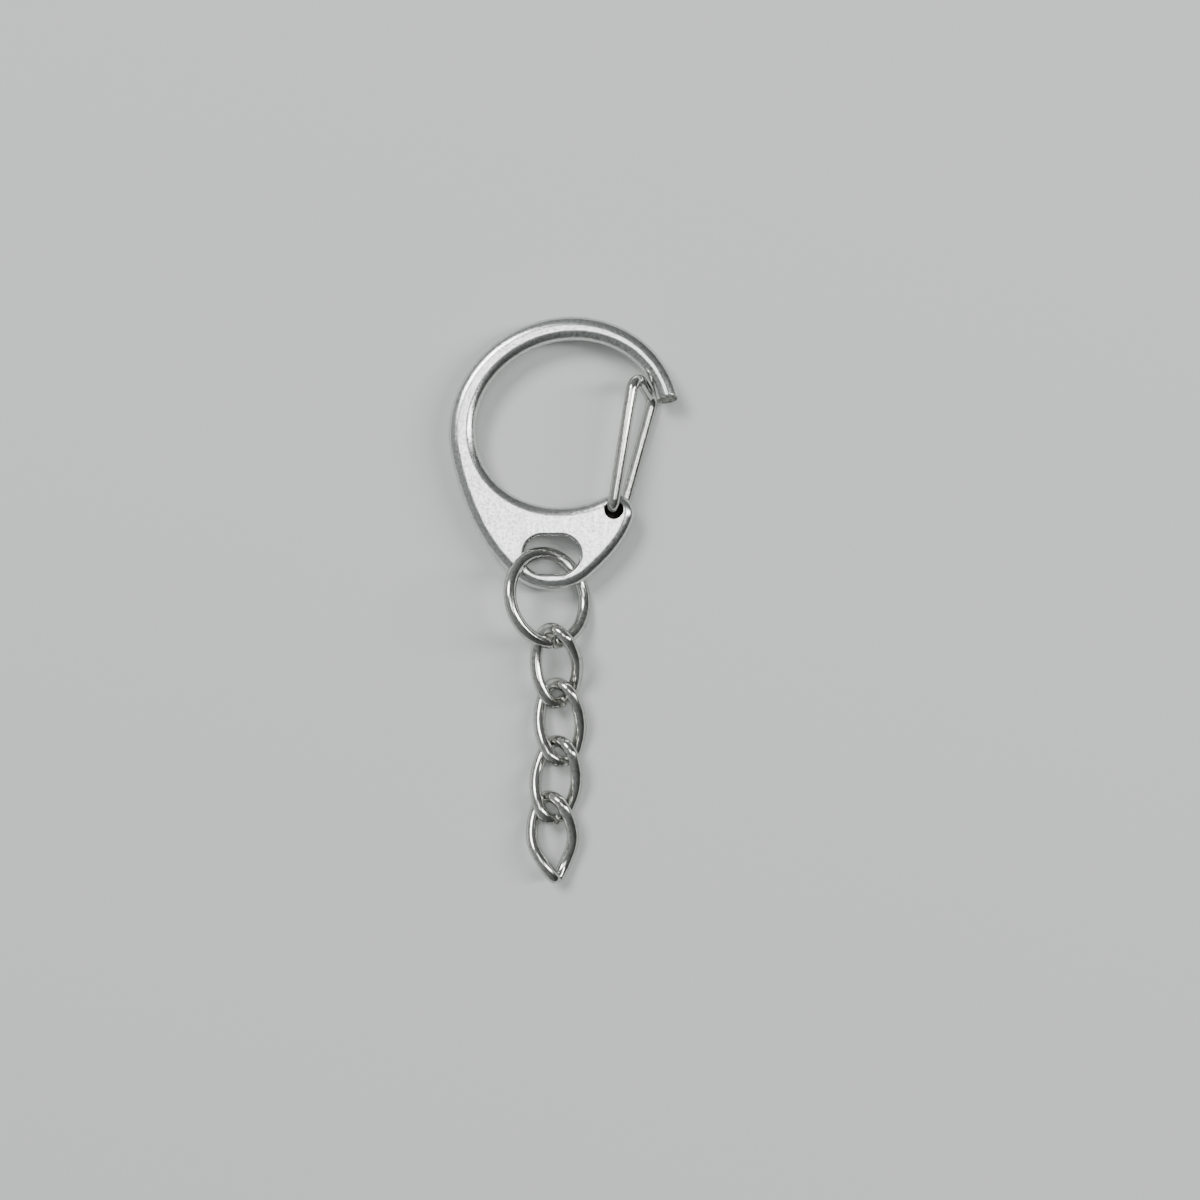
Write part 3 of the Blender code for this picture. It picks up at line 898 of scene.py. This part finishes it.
def bent_path(corners, radii, steps):
    """Straight runs through the corners, with a bend of the given radius at each."""
    points = [corners[0]]
    for before, corner, after, radius in zip(corners, corners[1:], corners[2:], radii):
        come = (corner - before).normalized()
        leave = (after - corner).normalized()
        turn = come.angle(leave)
        reach = radius * tan(turn / 2)
        centre = corner + (leave - come).normalized() * (radius / cos(turn / 2))
        start = corner - come * reach - centre
        axis = come.cross(leave)
        for step in range(steps + 1):
            points.append(centre + Matrix.Rotation(turn * step / steps, 3, axis) @ start)
    points.append(corners[-1])
    return points


print("sides of each wire:", WIRE_SIDES)

# %% [markdown]
# ## Wire gate
#
# The gate is one wire bent to a narrow U. Its legs lie on either face of the plate and its ends turn
# in to blind holes that don't quite face each other. So the legs are twisted a little against each
# other all the time, and that springs the gate shut against the hook's tip.

# %% Gate
GATE_WIRE = 1.2 * MM
GATE_FACE_GAP = 0.2 * MM
GATE_END_GAP = 0.25 * MM
KNEE_RADIUS = 0.9 * MM
BOW_RADIUS = 1.2 * MM
FRONT_BOW_ANGLE = radians(17.9)
FRONT_BOW_INSET = 0.87 * MM
BACK_BOW_ANGLE = radians(-4.8)
BACK_BOW_INSET = 0.31 * MM
GATE_BEND_STEPS = 18

leg_height = PLATE_THICKNESS / 2 + GATE_FACE_GAP + GATE_WIRE / 2
pin_end = PLATE_THICKNESS / 2 - HOLE_DEPTH + GATE_END_GAP
front_pin = HINGE + PIN_OFFSET
back_pin = HINGE - PIN_OFFSET
front_foot = Vector((*front_pin, leg_height))
back_foot = Vector((*back_pin, -leg_height))
front_bow = Vector((*beside_loop(FRONT_BOW_ANGLE, -FRONT_BOW_INSET), leg_height))
back_bow = Vector((*beside_loop(BACK_BOW_ANGLE, -BACK_BOW_INSET), -leg_height))
front_end = Vector((*front_pin, pin_end))
back_end = Vector((*back_pin, -pin_end))
corners = [front_end, front_foot, front_bow, back_bow, back_foot, back_end]
gate_line = bent_path(corners, [KNEE_RADIUS, BOW_RADIUS, BOW_RADIUS, KNEE_RADIUS], GATE_BEND_STEPS)
gate = sweep("sprung_gate", gate_line, GATE_WIRE / 2)
gate.location = HOOK_PLACE
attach(gate, "gate")
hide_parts("wire_gate")
print("gate faces:", len(gate.data.polygons))

# %% [markdown]
# ## Jump ring
#
# The ring is a length of wire coiled into a circle. Its two ends stop just short of each other at the
# bottom. It leans in the slot, so that from above it looks like an oval.

# %% Ring
RING_WIRE = 1.3 * MM
RING_RADIUS = 4.75 * MM
RING_TURN = radians(16)
RING_TILT = radians(38.5)
RING_GAP = 0.4 * MM
RING_STEPS = 160

RING_PLACE = Vector(JOINTS["ring_roll"]["pos_m"])
ring_turn = Matrix.Rotation(RING_TURN, 3, "Z") @ Matrix.Rotation(RING_TILT, 3, "Y")
ring_top = ring_turn @ Vector((0, 1, 0))
ring_side = ring_turn @ Vector((1, 0, 0))
lowest_angle = atan2(ring_side.y, ring_top.y)
half_gap = RING_GAP / RING_RADIUS / 2
ring_line = []
for step in range(RING_STEPS + 1):
    angle = lowest_angle - pi + half_gap + (2 * pi - 2 * half_gap) * step / RING_STEPS
    ring_line.append((ring_top * cos(angle) + ring_side * sin(angle)) * RING_RADIUS)
ring = sweep("open_ring", ring_line, RING_WIRE / 2)
ring.location = RING_PLACE
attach(ring, "ring")
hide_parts("jump_ring")
print("ring faces:", len(ring.data.polygons))

# %% [markdown]
# ## Curb chain
#
# A curb link starts as a flat oval. Twisting it about its length lets the links nest, so the chain
# lies flat and shows the same face all along. The last link looks as if it was pulled open, perhaps to
# take it off a longer chain: its lower end is pinched to a point and stretched.

# %% Shape of a link
LINK_WIRE = 1.25 * MM
LINK_HALF_LENGTH = 4.15 * MM
LINK_HALF_WIDTH = 2.15 * MM
LINK_END_RADIUS = 1.8 * MM
LINK_TWIST = radians(42)
LINK_GAP = 0.2 * MM
OPEN_LINK_GAP = 0.4 * MM
OPEN_LINK_STRETCH_share = 0.08
OPEN_LINK_PINCH_share = 0.55
RING_OVERLAP = 1.77 * MM
LINK_OVERLAP = 2.2 * MM
LINK_HALF_STEPS = 80
CUT_END_STEPS = 4

# The long sides are arcs too, of a much larger circle, so that four arcs make the oval
end_height = LINK_HALF_LENGTH - LINK_END_RADIUS
spare = LINK_HALF_WIDTH - LINK_END_RADIUS
LINK_SIDE_RADIUS = (LINK_HALF_WIDTH**2 + end_height**2 - LINK_END_RADIUS**2) / (2 * spare)
side_angle = atan2(end_height, LINK_SIDE_RADIUS - LINK_HALF_WIDTH)
end_length = LINK_END_RADIUS * (pi / 2 - side_angle)
HALF_OVAL_LENGTH = 2 * end_length + 2 * LINK_SIDE_RADIUS * side_angle
print("wire in a link, mm:", round(2 * HALF_OVAL_LENGTH / MM, 1))


def oval_point(distance):
    """A point on a flat oval, by distance along its wire from the lower middle."""
    if distance < end_length:
        return circle_point(Vector((0, -end_height)), LINK_END_RADIUS, distance / LINK_END_RADIUS - pi / 2)
    if distance < HALF_OVAL_LENGTH - end_length:
        angle = (distance - end_length) / LINK_SIDE_RADIUS - side_angle
        return circle_point(Vector((LINK_HALF_WIDTH - LINK_SIDE_RADIUS, 0)), LINK_SIDE_RADIUS, angle)
    angle = (distance - HALF_OVAL_LENGTH) / LINK_END_RADIUS + pi / 2
    return circle_point(Vector((0, end_height)), LINK_END_RADIUS, angle)


def link_line(gap, pinch_share, stretch_share):
    """The line of one link's wire: half an oval and its mirror image, twisted about its length."""
    right = []
    for step in (0, *range(CUT_END_STEPS, LINK_HALF_STEPS + 1)):
        distance = gap / 2 + (HALF_OVAL_LENGTH - gap / 2) * step / LINK_HALF_STEPS
        flat = oval_point(distance)
        below = max(0, -flat.y / LINK_HALF_LENGTH) ** 2
        right.append(Vector((flat.x * (1 - pinch_share * below), flat.y * (1 + stretch_share * below))))
    left = [Vector((-point.x, point.y)) for point in reversed(right[:-1])]
    points = []
    for flat in right + left:
        twist = LINK_TWIST * flat.y / LINK_HALF_LENGTH
        points.append(Vector((flat.x * cos(twist), flat.y, flat.x * sin(twist))))
    return points


# %% [markdown]
# The links lie as the chain fell on the cloth, each a little to one side of the last. A table gives
# their places as shares of the link's own size, so that the chain keeps its fall at any scale.

# %% Four links
LINK_PLACE_shares = (
    {"below": 0, "side": 0.434, "up": -0.284, "turn": radians(5.4), "raised": radians(19.3)},
    {"below": 0.990, "side": 0.573, "up": -0.895, "turn": radians(5), "raised": radians(0.8)},
    {"below": 1.990, "side": 0.384, "up": -0.848, "turn": radians(-4), "raised": radians(-0.4)},
    {"below": 2.948, "side": 0.211, "up": -0.869, "turn": radians(5.1), "raised": radians(-1.1)},
)

first_drop = RING_RADIUS + LINK_HALF_LENGTH - RING_OVERLAP
spacing = 2 * LINK_HALF_LENGTH - LINK_OVERLAP
for number, share in enumerate(LINK_PLACE_shares, start=1):
    if number == len(LINK_PLACE_shares):
        line = link_line(OPEN_LINK_GAP, OPEN_LINK_PINCH_share, OPEN_LINK_STRETCH_share)
    else:
        line = link_line(LINK_GAP, 0, 0)
    link = sweep("curb_link_" + str(number), line, LINK_WIRE / 2)
    drop = first_drop + share["below"] * spacing
    side = share["side"] * LINK_HALF_WIDTH
    up = share["up"] * LINK_HALF_WIDTH
    link.location = RING_PLACE + Vector((side, -drop, up))
    link.rotation_euler = (share["raised"], 0, share["turn"])
    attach(link, "link_" + str(number))
    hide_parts("chain_link_" + str(number))
    print(link.name, "faces:", len(link.data.polygons))

# %% [markdown]
# ## Size before and after dressing
#
# Dressing the clip is meant to keep its size. Both boxes are printed side by side, so that they can be
# compared.

# %% Sizes
bpy.context.view_layer.update()
LOOK_BOX = [list(corner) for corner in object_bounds()]
for name, box in (("solids", CAD_BOX), ("dressed", LOOK_BOX)):
    print(name, "mm:", [round((high - low) / MM, 2) for low, high in zip(*box)])
